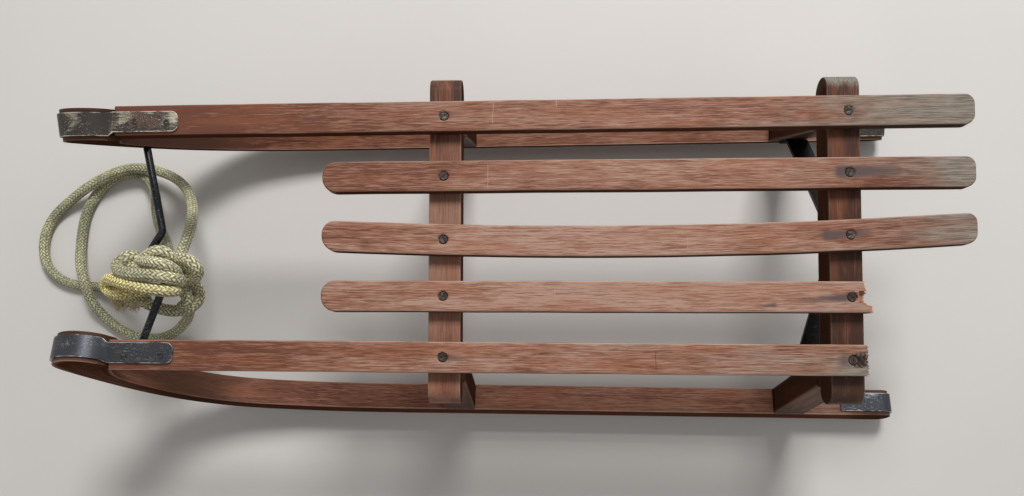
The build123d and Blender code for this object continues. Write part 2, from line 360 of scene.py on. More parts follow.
runnerSettings = {
    "width": 33.7,
    "thick": 31.0,
    "lean": 13.9,
    "toe": 0.66,
    "halfTrack": 185.7,
    "tailU": 570.5,
    "tailCorner": 12.0,
    "bendStart": -101.8,
    "bends": ((790.0, 12.2), (178.0, 63.4), (450.0, 77.5), (33.0, 228.0)),
    "noseBack": -363.4,
    "noseBackDrop": 4.0,
    "flareSlope": 68.0,
    "edge": 1.9,
    "straightStep": 10.0,
    "bendStep": 4.5,
    "flareSteps": 14,
    "noseSteps": 26,
    "spans": {"front": (-345, -250), "middle": (-250, 50), "tail": (350, 570)},
    "tone": {"nose": 0.05, "front": 0.12, "middle": 0.56, "tail": 0.5},
    "ageing": {"nose": 0.0, "front": 0.0, "middle": 0.06, "tail": 0.25},
    # The nose's grime is dirt and partly painted shade; noseGrey lifts it off the near runner's outer side
    # and greys that side instead
    "grime": {"nose": 0.68, "front": 0.0, "middle": 0.0, "tail": 0.2},
    "endGrime": (505.0, 540.0, 0.5),
    "noseGrey": (-355.0, -390.0, 0.36),
}
shoeSettings = {
    "width": 24.5,
    "thick": 2.5,
    "gap": 0.1,
    "tailLap": 68.0,
    "strapWidth": 22.7,
    "strapLength": 72.0,
    "strapCorner": 8.0,
    "strapInset": 2.4,
    "railGap": 0.2,
    "edge": 0.6,
    "rub": 2.2,
    "cornerSpots": (0, 1, 2, 6),
    "neckSteps": 9,
}


def runnerPlane(side):
    lean = math.radians(runnerSettings["lean"])
    toe = math.radians(runnerSettings["toe"])
    along = Vector((math.cos(toe), side * math.sin(toe), 0))
    inward = Vector((math.sin(toe), -side * math.cos(toe), 0))
    up = inward * math.sin(lean) + Vector((0, 0, math.cos(lean)))
    lift = shoeSettings["thick"] * math.cos(lean)
    lift += shoeSettings["width"] / 2 * math.sin(lean) + shoeSettings["gap"]
    origin = Vector((frontBarX, side * runnerSettings["halfTrack"] * mm, lift * mm))
    turn = Matrix((along, up, along.cross(up))).transposed().to_4x4()
    return Matrix.Translation(origin) @ turn @ Matrix.Scale(mm, 4)


def workedBends():
    spot = Vector((runnerSettings["bendStart"], 0))
    slope = 0.0
    rows = []
    for radius, slopeEnd in runnerSettings["bends"]:
        angle = math.radians(slope)
        centre = spot + Vector((math.sin(angle), math.cos(angle))) * radius
        rows.append({"centre": centre, "radius": radius, "from": slope, "to": slopeEnd})
        angle = math.radians(slopeEnd)
        spot = centre - Vector((math.sin(angle), math.cos(angle))) * radius
        slope = slopeEnd
    return rows


bendRows = workedBends()


def bendSpot(row, slope, offset=0.0):
    angle = math.radians(slope)
    reach = row["radius"] + offset
    return row["centre"] - Vector((math.sin(angle), math.cos(angle))) * reach


# An arc that leaves a spot in a direction and ends at another spot
def tangentArc(start, way, end, count):
    chord = end - start
    normal = Vector((-way.y, way.x))
    radius = chord.length_squared / (2 * chord.dot(normal))
    centre = start + normal * radius
    first = start - centre
    last = end - centre
    turn = -first.angle_signed(last)
    return [centre + Matrix.Rotation(turn * share, 2) @ first for share in steps(0, 1, count)]


def bendSteps(row, last):
    arc = row["radius"] * math.radians(last - row["from"])
    return steps(row["from"], last, math.ceil(arc / runnerSettings["bendStep"]))


# Where the straight sole is cut, from the tail's corner to the first bend
def soleSteps():
    settings = runnerSettings
    start, end = settings["tailU"] - settings["tailCorner"], settings["bendStart"]
    return steps(start, end, round((start - end) / settings["straightStep"]))


# Pairs of spots on the outer and the inner outline of a runner, from the tail to the nose
def runnerStations():
    settings = runnerSettings
    tail, corner, thick = settings["tailU"], settings["tailCorner"], settings["thick"]
    rows = []
    for angle in steps(0, math.pi / 2, 8):
        u = tail - corner + corner * math.cos(angle)
        rise = corner - corner * math.sin(angle)
        rows.append((Vector((u, rise)), Vector((u, thick - rise))))
    rows += [(Vector((u, 0)), Vector((u, thick))) for u in soleSteps()]
    slopeAt = settings["flareSlope"]
    for row in bendRows[:3]:
        for slope in bendSteps(row, min(row["to"], slopeAt)):
            rows.append((bendSpot(row, slope), bendSpot(row, slope, -thick)))
    arm, nose = bendRows[2:]
    flare, lean = math.radians(slopeAt), math.radians(settings["lean"])
    seat = runnerPlane(1).translation.z / mm
    backUnder = (seatUnder / mm - seat) / math.cos(lean)
    rise = settings["width"] / 2 * math.sin(lean)
    backTop = (seatTop / mm - settings["noseBackDrop"] - rise - seat) / math.cos(lean)
    under = Vector((settings["noseBack"], backUnder))
    way = Vector((-math.cos(flare), math.sin(flare)))
    count = settings["flareSteps"]
    flareArc = tangentArc(bendSpot(arm, slopeAt, -thick), way, under, count)
    rows.extend(zip([bendSpot(arm, slope) for slope in steps(slopeAt, arm["to"], count)], flareArc))
    count = settings["noseSteps"]
    back = [Vector((settings["noseBack"], height)) for height in steps(backUnder, backTop, count)]
    rows.extend(zip([bendSpot(nose, slope) for slope in steps(nose["from"], nose["to"], count)], back))
    apart = [rows[0]]
    for outer, inner in rows[1:]:
        if (outer - apart[-1][0]).length > 0.01 or (inner - apart[-1][1]).length > 0.01:
            apart.append((outer, inner))
    return apart


# A grid of faces laid through rings of points and closed at both ends
def skinRings(bm, rings, sharp=(0, 1, 2, 3)):
    count, last = len(rings[0]), len(rings) - 1
    spokes = bm.verts.layers.int.new("spoke")
    stations = bm.verts.layers.int.new("station")
    made = bmesh.ops.create_grid(bm, x_segments=last, y_segments=count, size=1)
    for vertex in made["verts"]:
        station = round((vertex.co.x + 1) / 2 * last)
        spoke = round((vertex.co.y + 1) / 2 * count) % count
        vertex.co = rings[station][spoke]
        vertex[spokes] = spoke
        vertex[stations] = station
    bmesh.ops.remove_doubles(bm, verts=bm.verts, dist=1e-4)
    bmesh.ops.holes_fill(bm, edges=[edge for edge in bm.edges if edge.is_boundary], sides=0)
    bmesh.ops.recalc_face_normals(bm, faces=bm.faces)
    corners = []
    for edge in bm.edges:
        first, second = edge.verts
        atEnd = first[stations] == second[stations] and first[stations] in (0, last)
        if (first[spokes] == second[spokes] and first[spokes] in sharp) or atEnd:
            corners.append(edge)
    return corners


# Seat boards: two rails and three slats

boardSettings = {
    "width": 33.4,
    "thick": 14.0,
    "edge": 1.9,
    "frontRound": 15.5,
    "rearRound": 11.0,
    "cutEvery": 5.0,
    "cutsAcross": (-12.5, -10.0, -7.5, -5.0, -2.5, 0.0, 2.5, 5.0, 7.5, 10.0, 12.5),
    "pocket": 5.5,
    "pocketDepth": 3.5,
    "pocketFlare": 0.4,
    "spacing": 434.8,
    "crookAt": 221.0,
    "wobble": 0.35,
    "greyingPower": 1.6,
}
# Each board's tone runs from front over middle to rear; the far rail's dark front and the brighter middle
# and near slats are partly the wood's own tone and partly painted shade and light
# Stain rows: u and y where it starts, u and y where it ends, half width, strength
boards = {
    "rail_far": {
        "front": -366.4, "rear": 568.0, "frontY": 131.05, "rearY": 133.9, "side": 1,
        "tone": (-0.34, 0.36, 0.36), "ageing": (0.0, 0.08, 0.95), "seed": 1.3,
        "stains": ((0, 0, 20, 2, 5, 0.45), (434.8, 0, 446, 1, 4, 0.4)),
    },
    "rail_near": {
        "front": -366.4, "rear": 447.0, "frontY": -131.05, "rearY": -133.9, "side": -1,
        "tone": (0.06, 0.52, 0.5), "ageing": (0.0, 0.16, 0.5), "seed": 7.1,
        "body": 443.0, "fresh": 0.0, "spikes": 0.02,
        "greyCorner": {"most": 0.5, "u": (395, 440), "y": (-4, 10)},
        "stains": ((0, 0, 20, -1, 4, 0.7), (425, 0, 446, 0, 8, 0.6)),
    },
    "slat_far": {
        "front": -132.5, "rear": 567.5, "frontY": 65.3, "rearY": 66.8,
        "tone": (0.16, 0.52, 0.30), "ageing": (0.0, 0.06, 0.70), "seed": 3.7,
        "stains": ((425, 0, 484, 1, 7, 0.95), (-3, 0, 6, 0, 5, 0.4)),
    },
    "slat_middle": {
        "front": -132.5, "rear": 567.5, "frontY": 2.2, "rearY": 5.7, "bow": -5.8,
        "tone": (0.48, 0.76, 0.42), "ageing": (0.0, 0.08, 0.75), "seed": 5.2,
        "stains": ((408, 0, 452, 1, 6, 0.9), (-3, 0, 8, 0, 5, 0.4)),
    },
    "slat_near": {
        "front": -132.5, "rear": 446.5, "frontY": -65.3, "rearY": -66.8, "body": 441.2,
        "tone": (0.54, 0.82, 0.74), "ageing": (0.02, 0.05, 0.3), "seed": 9.4,
        "fresh": 1.0, "spikes": 0.12,
        "stains": ((434, 0, 404, -2, 4.4, 1.0), (404, -2, 380, -5, 3.2, 0.75),
                   (380, -5, 362, -8, 2.6, 0.4), (354, -9, 332, -10.5, 2.0, 0.95),
                   (-3, 0, 8, 0, 5, 0.4)),
    },
}


# Wood materials

woodColours = {
    # side is the dark of the pieces' sides, dirt and painted shade; the shared edge colour is the pale of
    # worn corners, partly a painted highlight
    "board": {
        "dark": (0.130, 0.047, 0.027), "middle": (0.285, 0.131, 0.085), "pale": (0.43, 0.272, 0.206),
        "stain": (0.075, 0.057, 0.060), "side": (0.050, 0.018, 0.010),
        "cracks": 0.7, "rubbing": 0.9, "contrast": 1.45, "shine": 0.20, "greySides": 0.0,
    },
    "runner": {
        "dark": (0.085, 0.030, 0.017), "middle": (0.215, 0.086, 0.054), "pale": (0.34, 0.185, 0.125),
        "stain": (0.040, 0.021, 0.013), "side": (0.060, 0.022, 0.013),
        "cracks": 0.5, "rubbing": 0.6, "contrast": 1.3, "shine": 0.12, "greySides": 0.8,
    },
    "frame": {
        "dark": (0.055, 0.024, 0.015), "middle": (0.195, 0.080, 0.050), "pale": (0.30, 0.165, 0.115),
        "stain": (0.046, 0.030, 0.022), "side": (0.050, 0.022, 0.014),
        "cracks": 0.12, "rubbing": 0.4, "contrast": 0.6, "shine": 0.15, "greySides": 0.0,
    },
    "warm": (0.33, 0.110, 0.048),
    "aged": (0.285, 0.258, 0.215),
    "agedDark": (0.125, 0.108, 0.088),
    "edge": (0.60, 0.42, 0.32),
    "crack": (0.022, 0.012, 0.009),
    "scratch": (0.55, 0.38, 0.28),
    "rotten": (0.125, 0.088, 0.064),
    "fresh": (0.86, 0.58, 0.38),
    "freshDeep": (0.40, 0.13, 0.045),
}
# The wood's patterns: scale along and across the grain, detail, roughness and distortion
grainLooks = {
    "bands": ((3.5, 75, 75), 3, 0.55, 0.5),
    "streaks": ((36, 800, 800), 3, 0.62, 0.3),
    "flecks": ((75, 1200, 1200), 3, 0.6),
    "fibre": ((140, 3600, 3600), 2, 0.5),
    "patches": ((11, 40, 40), 4, 0.6),
}
# Thin marks across the boards: board, place along in mm, from and to across, half width, paleness
scratchMarks = (
    ("rail_far", 53.3, -9, 13, 0.36, 0.6), ("rail_far", 122.0, 8, 16, 0.45, 0.5),
    ("slat_far", 48.0, -13, 12, 0.36, 0.5), ("slat_near", 120.0, -6, 12, 0.35, 0.35),
    ("rail_near", 227.0, -12, 8, 0.4, -0.7), ("slat_middle", 262.0, -10, 3, 0.35, 0.35),
)
rottenPatch = {
    "board": "rail_near",
    "place": 441.5,
    "reach": 10.5,
    "ringStep": 4.6,
    "ringsAt": (454.0, 5.0),
    "flatness": 1.2,
    "edgeWaver": 0.007,
    "ringWaver": 0.009,
}


def markMask(where, along, low, high, halfWidth):
    waver = (cloud(stretched(where, (0, 160, 0), (along, 0, 0)), 1, 2) - 0.5) * 0.003
    x, y, z = axes(where)
    line = ramp(abs(x - along + waver), halfWidth * 0.3 * mm, halfWidth * 1.4 * mm, 1.0, 0.0)
    inside = ramp(y, (low - 1) * mm, (low + 1) * mm)
    return line * (inside * ramp(y, (high - 1) * mm, (high + 1) * mm, 1.0, 0.0))


# Rotten wood round the last screw of the near rail: curved cracks that follow the screw's hole
def addRot(where, colour):
    patch = rottenPatch
    seed = boards[patch["board"]]["seed"]
    waver = cloud(stretched(where, (130, 210, 210)), 1, 4, 0.6) - 0.5
    flat = stretched(where, (1, patch["flatness"], 0), (-seed - patch["place"] * mm, 0, 0))
    away = lengthOf(flat) + waver * patch["edgeWaver"]
    reach = patch["reach"] * mm
    inside = ramp(away, reach * 0.86, reach * 1.06, 1.0, 0.0)
    ringU, ringY = patch["ringsAt"]
    fromRings = stretched(where, (1, 1, 0), (-seed - ringU * mm, -ringY * mm, 0))
    turns = lengthOf(fromRings) + waver * patch["ringWaver"]
    turns *= 2 * math.pi / (patch["ringStep"] * mm)
    rings = ramp(sums("SINE", turns), -0.9, -0.1)
    spoiled = mixColour(rings, woodColours["crack"], woodColours["rotten"])
    spoiled = mixColour(ramp(away, reach * 0.35, reach * 0.75, 0.8, 0.0), spoiled, woodColours["crack"])
    return mixColour(inside, colour, spoiled), inside * (rings - 1.0)


def woodMaterial(name, colours, gloss, marked=False, shared=woodColours):
    material, tree, shader = startMaterial(name)
    grain = attribute(tree, "grain")
    across, depth, raw = axes(attribute(tree, "rim"))
    tone, ageing, stain = axes(attribute(tree, "finish"))
    bands, streaks, flecks, fibre, patches = [
        cloud(stretched(grain, scale), 1, *rest) for scale, *rest in grainLooks.values()
    ]
    # The tone drifts with the piece, the bands and the fine streaks
    level = tone + swing(bands, 0.3, 0.7, 0.13)
    level += swing(streaks, 0.3, 0.7, 0.24 * colours["contrast"])
    level += swing(flecks, 0.3, 0.7, 0.16 * colours["contrast"])
    level += sums("SINE", bands * 70.0) * 0.1
    level += swing(patches, 0.35, 0.65, 0.12)
    colour = mixColour(ramp(level, 0.0, 0.5), colours["dark"], colours["middle"])
    colour = mixColour(ramp(level, 0.45, 1.05), colour, colours["pale"])
    warmth = ramp(cloud(stretched(grain, (8, 60, 60), (3, 1, 4)), 1, 3), 0.45, 0.68)
    colour = mixColour(warmth * 0.28, colour, shared["warm"])
    # Grey weathering, in streaks and patches
    greys = mixColour(ramp(streaks, 0.32, 0.62), shared["agedDark"], shared["aged"])
    greyed = ageing + swing(patches, 0.35, 0.7, 0.16) + swing(bands, 0.35, 0.65, 0.12)
    colour = mixColour(ramp(greyed, 0.12, 0.95, 0.0, 0.92), colour, greys)
    # Short dark flecks and thin cracks along the grain
    colour = mixColour(ramp(flecks, 0.58, 0.72, 0.0, 0.4), colour, colours["dark"])
    opened = ramp(patches, 0.56, 0.68) * ramp(ageing, 0.0, 0.6, 0.25, 1.0)
    crack = ramp(abs(streaks - 0.5), 0.0, 0.014, 1.0, 0.0) * opened
    colour = mixColour(crack * colours["cracks"], colour, shared["crack"])
    # Sides darkened by dirt and by painted shade, and pale corners that are partly wear and partly a
    # painted highlight
    across, depth = abs(across), abs(depth)
    side = ramp(across, 0.975, 0.999) * ramp(depth, 1.0, 0.9)
    sideDirtAndShadeShare = ramp(ageing, 0.0, 1.0, 0.8, 0.8 - colours["greySides"])
    colour = mixColour(side * sideDirtAndShadeShare, colour, colours["side"])
    # Pale corners: wear, and partly a painted highlight along the bevels
    rubbed = ramp(across, 0.90, 0.975) * ramp(depth, 0.72, 0.99)
    rubbed *= ramp(patches, 0.36, 0.58, 0.35, colours["rubbing"])
    rubbed *= ramp(tone, 0.0, 0.5, 0.3, 0.75)
    colour = mixColour(rubbed, colour, shared["edge"])
    # Blue-black stains that iron screws left
    edge = (stain + swing(streaks, 0.3, 0.7, 0.2)) * ramp(stain, 0.02, 0.2)
    colour = mixColour(ramp(edge, 0.12, 0.85, 0.0, 0.88), colour, colours["stain"])
    relief = streaks * 0.6 + fibre * 0.35 + flecks * 0.3 - crack * 0.9
    if marked:
        for board, along, low, high, halfWidth, paleness in scratchMarks:
            mask = markMask(grain, boards[board]["seed"] + along * mm, low, high, halfWidth)
            mark = shared["scratch"] if paleness > 0 else shared["crack"]
            colour = mixColour(mask * abs(paleness), colour, mark)
        colour, hollows = addRot(grain, colour)
        relief += hollows * 2.2
    # Fresh broken wood
    bare = mixColour(ramp(fibre, 0.35, 0.65), shared["freshDeep"], shared["fresh"])
    bare = mixColour(ramp(raw, 0.5, 1.0), bare, shared["fresh"])
    setInputs(shader, {
        "Base Color": mixColour(ramp(raw, 0.1, 0.45), colour, bare),
        "Roughness": ramp(streaks, 0.3, 0.7, *gloss) + ageing * 0.2,
        "Specular IOR Level": (1.0 - side) * colours["shine"],
        "Normal": bump(relief, 0.5, 0.0005),
    })
    return material


boardWood = woodMaterial("boardWood", woodColours["board"], (0.54, 0.70), marked=True)
runnerWood = woodMaterial("runnerWood", woodColours["runner"], (0.44, 0.60))
frameWood = woodMaterial("frameWood", woodColours["frame"], (0.42, 0.58))
print("wood materials made")

# Wood pieces are modelled in millimetres in their own frame, and then get three attributes:
# grain is the place along, across and through the wood, rim is how near a corner a point lies
# and how freshly broken it is, and finish is tone, greying and stain


def woodLayers(bm):
    layers = bm.verts.layers.float_vector
    return [layers.get(name) or layers.new(name) for name in ("grain", "rim", "finish")]


# Takes one shape out of another
def subtracted(bm, cutter):
    body = addObject("body", meshOf("body", bm))
    tool = addObject("cutter", meshOf("cutter", cutter))
    modifier = body.modifiers.new("pockets", "BOOLEAN")
    modifier.operation = "DIFFERENCE"
    modifier.solver = "EXACT"
    modifier.object = tool
    bpy.context.view_layer.update()
    graph = bpy.context.evaluated_depsgraph_get()
    mesh = bpy.data.meshes.new_from_object(body.evaluated_get(graph))
    result = bmesh.new()
    result.from_mesh(mesh)
    for used in (mesh, body.data, tool.data):
        bpy.data.meshes.remove(used)
    return result


def boardLine(row, u):
    spacing = boardSettings["spacing"]
    y = row["frontY"] + (row["rearY"] - row["frontY"]) * u / spacing
    if "bow" in row:
        crook = boardSettings["crookAt"]
        straight = row["frontY"] + (row["rearY"] - row["frontY"]) * crook / spacing
        bend = (u - row["front"]) * (row["rear"] - u)
        bend /= (crook - row["front"]) * (row["rear"] - crook)
        y += (row["bow"] - straight) * bend
    return y


def stainAt(row, u, y):
    strongest = 0.0
    for startU, startY, endU, endY, halfWidth, strength in row["stains"]:
        start = Vector((startU, startY))
        way = Vector((endU, endY)) - start
        spot = Vector((u, y)) - start
        share = limited(spot.dot(way) / way.length_squared)
        away = (spot - way * share).length / halfWidth
        fade = 1 - 0.45 * share
        strongest = max(strongest, strength * fade * (1 - smoothStep(away, 0.25, 1.6)))
    return strongest


def boardBlank(row):
    settings = boardSettings
    front, rear = row["front"], row.get("body", row["rear"])
    size = (rear - front, settings["width"], settings["thick"])
    bm = block(size, ((front + rear) / 2, 0, settings["thick"] / 2))

    def uprights(place):
        return [edge for edge in edgesAlong(bm, 2) if abs(edge.verts[0].co.x - place) < 1e-3]

    if "side" not in row:
        bevelEdges(bm, uprights(front), settings["frontRound"], 8)
    if "body" not in row:
        bevelEdges(bm, uprights(rear), settings["rearRound"], 7)
    rims = rimEdges(bm, 2)
    if "body" in row:
        rims = [edge for edge in rims if min(vertex.co.x for vertex in edge.verts) < rear - 1e-3]
    bevelEdges(bm, rims, settings["edge"], 3)
    count = math.ceil((rear - 1 - front) / settings["cutEvery"])
    cutAcross(bm, [front + settings["cutEvery"] * step for step in range(1, count)])
    cutAcross(bm, settings["cutsAcross"], (0, 1, 0))
    return bm


def cutPockets(bm):
    settings = boardSettings
    cutter = bmesh.new()
    for place in (0.0, settings["spacing"]):
        made = bmesh.ops.create_cone(
            cutter, cap_ends=True, segments=28, radius1=settings["pocket"],
            radius2=settings["pocket"] + settings["pocketFlare"], depth=settings["pocketDepth"] * 2,
        )
        bmesh.ops.translate(cutter, vec=(place, 0, settings["thick"]), verts=made["verts"])
    return subtracted(bm, cutter)


# Where the broken ends stop: share across from near -1 to far 1, and how far the end stands out
brokenEnds = {
    "slat_near": (
        (-1.0, 455.5), (-0.8, 456.2), (-0.56, 456.0), (-0.5, 452.0), (-0.38, 449.5),
        (0.0, 449.0), (0.38, 450.0), (0.45, 450.5), (0.55, 449.5), (0.75, 447.5), (1.0, 445.6),
    ),
    "rail_near": ((-1.0, 449.5), (-0.5, 450.5), (0.0, 449.6), (0.5, 450.2), (1.0, 449.0)),
}
splinterSettings = {
    "columns": 30,
    "rows": 10,
    "roundness": 1.9,
    "notch": (-0.42, 0.4),
    "notchDepth": 0.4,
    "notchEnd": 438.5,
    "jitter": 1.6,
    "spikeLength": 3.5,
    "notchSway": (-2.5, 1.5),
    "tipSway": 0.4,
    "endSway": 0.3,
    "stages": ((0.78, 0.97, 0.12), (1.0, 0.45, 1.0)),  # length, width and freshness
    "sharpFrom": 0.6,
}


def brokenEnd(rows, share):
    for (low, start), (high, end) in zip(rows, rows[1:]):
        if share <= high:
            return start + (end - start) * (share - low) / (high - low)
    return rows[-1][1]


# Splinters: a grid of small faces on the broken end, each drawn out to its own length
def addSplinters(bm, name, row, rim, draw):
    settings = splinterSettings
    half, thick = boardSettings["width"] / 2, boardSettings["thick"]
    columns, rows = settings["columns"], settings["rows"]
    made = bmesh.ops.create_grid(bm, x_segments=columns, y_segments=rows, size=1)
    corner = settings["roundness"]
    for vertex in made["verts"]:
        y = vertex.co.x * half
        z = (vertex.co.y + 1) / 2 * thick
        overY = abs(y) - (half - corner)
        overZ = abs(z - thick / 2) - (thick / 2 - corner)
        if overY > 0 and overZ > 0:
            shrink = corner / max(corner, math.hypot(overY, overZ))
            y = math.copysign(half - corner + overY * shrink, y)
            z = thick / 2 + math.copysign(thick / 2 - corner + overZ * shrink, z - thick / 2)
        vertex.co = Vector((row["body"] - 0.2, y, z))
    faces = list({face for vertex in made["verts"] for face in vertex.link_faces})
    faces.sort(key=lambda face: tuple(round(part, 3) for part in face.calc_center_median()))
    ends = []
    notchLow, notchHigh = settings["notch"]
    for face in faces:
        centre = face.calc_center_median()
        share = centre.y / half
        level = 1 - centre.z / thick
        end = brokenEnd(brokenEnds[name], share)
        if name == "slat_near" and notchLow < share < notchHigh and level < settings["notchDepth"]:
            end = settings["notchEnd"] + draw.uniform(*settings["notchSway"])
        end += draw.uniform(-settings["jitter"], settings["jitter"]) * (0.6 + 0.4 * level)
        if draw.random() < row["spikes"]:
            end += draw.uniform(0.5, settings["spikeLength"])
        ends.append(max(row["body"] + 0.3, end))
    sway, endSway = settings["tipSway"], settings["endSway"]
    for stage, (share, shrink, raw) in enumerate(settings["stages"]):
        faces = bmesh.ops.extrude_discrete_faces(bm, faces=faces)["faces"]
        for face, end in zip(faces, ends):
            centre = face.calc_center_median()
            tip = Vector((0, draw.uniform(-sway, sway), draw.uniform(-sway, sway)))
            target = row["body"] + (end - row["body"]) * share
            for vertex in face.verts:
                place = centre.lerp(vertex.co, shrink)
                place.x = target + draw.uniform(-endSway, endSway)
                vertex.co = place + (tip if stage else Vector())
                vertex[rim] = (0, 0, raw * row["fresh"])


def sharpenEnd(bm, row):
    for edge in bm.edges:
        if max(vertex.co.x for vertex in edge.verts) > row["body"] - 1 and edge.is_manifold:
            if edge.calc_face_angle() > splinterSettings["sharpFrom"]:
                edge.smooth = False


def finishBoard(bm, row):
    settings = boardSettings
    grain, rim, finish = woodLayers(bm)
    half, halfThick = settings["width"] / 2, settings["thick"] / 2
    for vertex in bm.verts:
        u, y, z = vertex.co
        raw = vertex[rim].z
        share = limited((u - row["front"]) / (row["rear"] - row["front"]))
        offset = row["seed"]
        vertex[grain] = Vector((u * mm + offset, y * mm, z * mm + offset))
        vertex[rim] = (y / half, z / halfThick - 1, raw)
        stain = stainAt(row, u, y) if z > settings["thick"] * 0.5 else 0.0
        grey = between(row["ageing"], share ** settings["greyingPower"])
        if "greyCorner" in row:
            corner = row["greyCorner"]
            grey += corner["most"] * smoothStep(u, *corner["u"]) * smoothStep(-y, *corner["y"])
        vertex[finish] = (between(row["tone"], share), grey, stain)
        wave = noise.noise(Vector((u / 70, y / 40, offset))) * settings["wobble"]
        place = Vector((u, boardLine(row, u) + y + wave, z)) * mm
        vertex.co = place + Vector((frontBarX, 0, seatUnder))


def addBoard(name, row):
    draw = random.Random(round(row["seed"] * 10))
    bm = cutPockets(boardBlank(row))
    grain, rim, finish = woodLayers(bm)
    if "body" in row:
        addSplinters(bm, name, row, rim, draw)
        sharpenEnd(bm, row)
    finishBoard(bm, row)
    if "side" in row:
        plane = runnerPlane(row["side"])
        spot = plane @ Vector((runnerSettings["noseBack"] + shoeSettings["railGap"], 0, 0))
        cutAway(bm, spot, plane.to_3x3() @ Vector((1, 0, 0)), clear_inner=True)
    kind, place = name.split("_")
    addPiece(kind + place.title(), bm, boardWood, [name])


# Runners


def runnerTone(values, u):
    level = values["nose"]
    for part, (low, high) in runnerSettings["spans"].items():
        level += (values[part] - level) * smoothStep(u, low, high)
    return level


def addRunner(name, node, side):
    settings = runnerSettings
    stations = runnerStations()
    half = settings["width"] / 2
    rings = []
    for outer, inner in stations:
        corners = ((outer, -half), (outer, half), (inner, half), (inner, -half))
        rings.append([Vector((*spot, across)) for spot, across in corners])
    bm = bmesh.new()
    bevelEdges(bm, skinRings(bm, rings), settings["edge"], 3)
    along = [0.0]
    middles = [(outer + inner) / 2 for outer, inner in stations]
    for first, second in zip(middles, middles[1:]):
        along.append(along[-1] + (second - first).length)
    tree = kdtree.KDTree(2 * len(stations))
    for index, pair in enumerate(stations):
        for spot in pair:
            tree.insert((*spot, 0), index)
    tree.balance()
    grain, rim, finish = woodLayers(bm)
    for vertex in bm.verts:
        u, s, z = vertex.co
        index = tree.find((u, s, 0))[1]
        outer, inner = stations[index]
        through = inner - outer
        depth = (Vector((u, s)) - outer).dot(through) / through.length_squared
        beside = (Vector((u, s)) - middles[index]).cross(through) / through.length
        place = (along[index] + beside) * mm
        vertex[grain] = (place + side * 2.3, z * mm, depth * 0.031 + side)
        vertex[rim] = (z / half, 2 * depth - 1, 0)
        tone, ageing, grime = [runnerTone(settings[key], u) for key in ("tone", "ageing", "grime")]
        if side < 0 and z > half * 0.95:
            start, end, most = settings["noseGrey"]
            greyed = 1 - smoothStep(u, end, start)
            ageing += most * greyed
            grime *= 1 - greyed
        low, high, most = settings["endGrime"]
        vertex[finish] = (tone, ageing, grime + most * smoothStep(u, low, high))
    bm.transform(runnerPlane(side))
    addPiece(name, bm, runnerWood, [node])


addRunner("runnerNear", "runner_near", -1)
addRunner("runnerFar", "runner_far", 1)
print("runners made")

# Legs and crossbars

legSettings = {
    "width": 40.0,
    "edge": 2.2,
    "cutEvery": 8.0,
    "gap": 0.1,
    # The low tone is painted shade: it darkens the legs for the seat's shadow over them
    "tone": -0.3,
    "greying": 0.08,
}
barSettings = {
    "length": 362.8,
    "width": 35.2,
    "height": 33.6,
    "under": 191.4,
    "edge": 1.8,
    "cutEvery": 8.0,
    "endRound": 18.0,
    "wornEnd": (24.0, 4.0),
    "grimeFrom": (140.0, 178.0),
}
# Tone from the far end over the middle to the near end, and the weathering of both ends
crossbars = {
    "crossbar_front": {
        # The front bar's bright middle is partly painted light, lifting the wood where the seat's boards
        # shade it
        "x": frontBarX, "seed": 21.0, "tone": (0.06, 0.98, 0.72), "worn": (0.2, 0.2), "grime": 0.2,
    },
    "crossbar_rear": {
        "x": rearBarX, "seed": 33.0, "tone": (0.1, 0.08, 0.0), "worn": (1.0, 0.2), "grime": 0.4,
    },
}


def addLeg(name, node, side, barU, seed):
    settings = legSettings
    half, width = runnerSettings["width"] / 2, settings["width"]
    foot = runnerSettings["thick"] + settings["gap"]
    height = barSettings["under"] / math.cos(math.radians(runnerSettings["lean"]))
    bm = block((width, height, 2 * half), (barU, foot + height / 2, 0))
    bevelEdges(bm, edgesAlong(bm, 1), settings["edge"], 3)
    count = int(height / settings["cutEvery"])
    cutAcross(bm, [foot + settings["cutEvery"] * step for step in range(1, count)], (0, 1, 0))
    grain, rim, finish = woodLayers(bm)
    for vertex in bm.verts:
        u, s, z = vertex.co
        vertex[grain] = (s * mm + seed, (u - barU) * mm, z * mm + seed)
        vertex[rim] = ((u - barU) / (width / 2), z / half, 0)
        greyed = settings["greying"] * noise.noise((s / 40, z / 20, seed))
        vertex[finish] = (settings["tone"], greyed, 0)
    bm.transform(runnerPlane(side))
    cutAway(bm, (0, 0, (barSettings["under"] - settings["gap"]) * mm), (0, 0, 1), clear_outer=True)
    addPiece(name, bm, frameWood, [node])


def addCrossbar(name, node, row):
    settings = barSettings
    length, width, height = settings["length"], settings["width"], settings["height"]
    bm = block((width, length, height), (0, 0, 0))
    bevelEdges(bm, edgesAlong(bm, 0), height / 2 - 0.05, 12)
    bevelEdges(bm, rimEdges(bm, 0), settings["edge"], 3)
    reach = length / 2 - settings["endRound"]
    cutAcross(bm, steps(-reach, reach, int(length / settings["cutEvery"])), (0, 1, 0))
    grain, rim, finish = woodLayers(bm)
    wornFrom, wornTo = [length / 2 - back for back in settings["wornEnd"]]
    for vertex in bm.verts:
        x, y, z = vertex.co
        vertex[grain] = (y * mm + row["seed"], x * mm, z * mm + row["seed"])
        vertex[rim] = (x / (width / 2), z / (height / 2), 0)
        worn = smoothStep(abs(y), wornFrom, wornTo) * row["worn"][int(y < 0)]
        grimy = smoothStep(-y, *settings["grimeFrom"]) * row["grime"]
        vertex[finish] = (between(row["tone"], 0.5 - y / length), worn, grimy)
        vertex.co = Vector((x, y, z + settings["under"] + height / 2)) * mm
        vertex.co.x += row["x"]
    addPiece(name, bm, frameWood, [node])


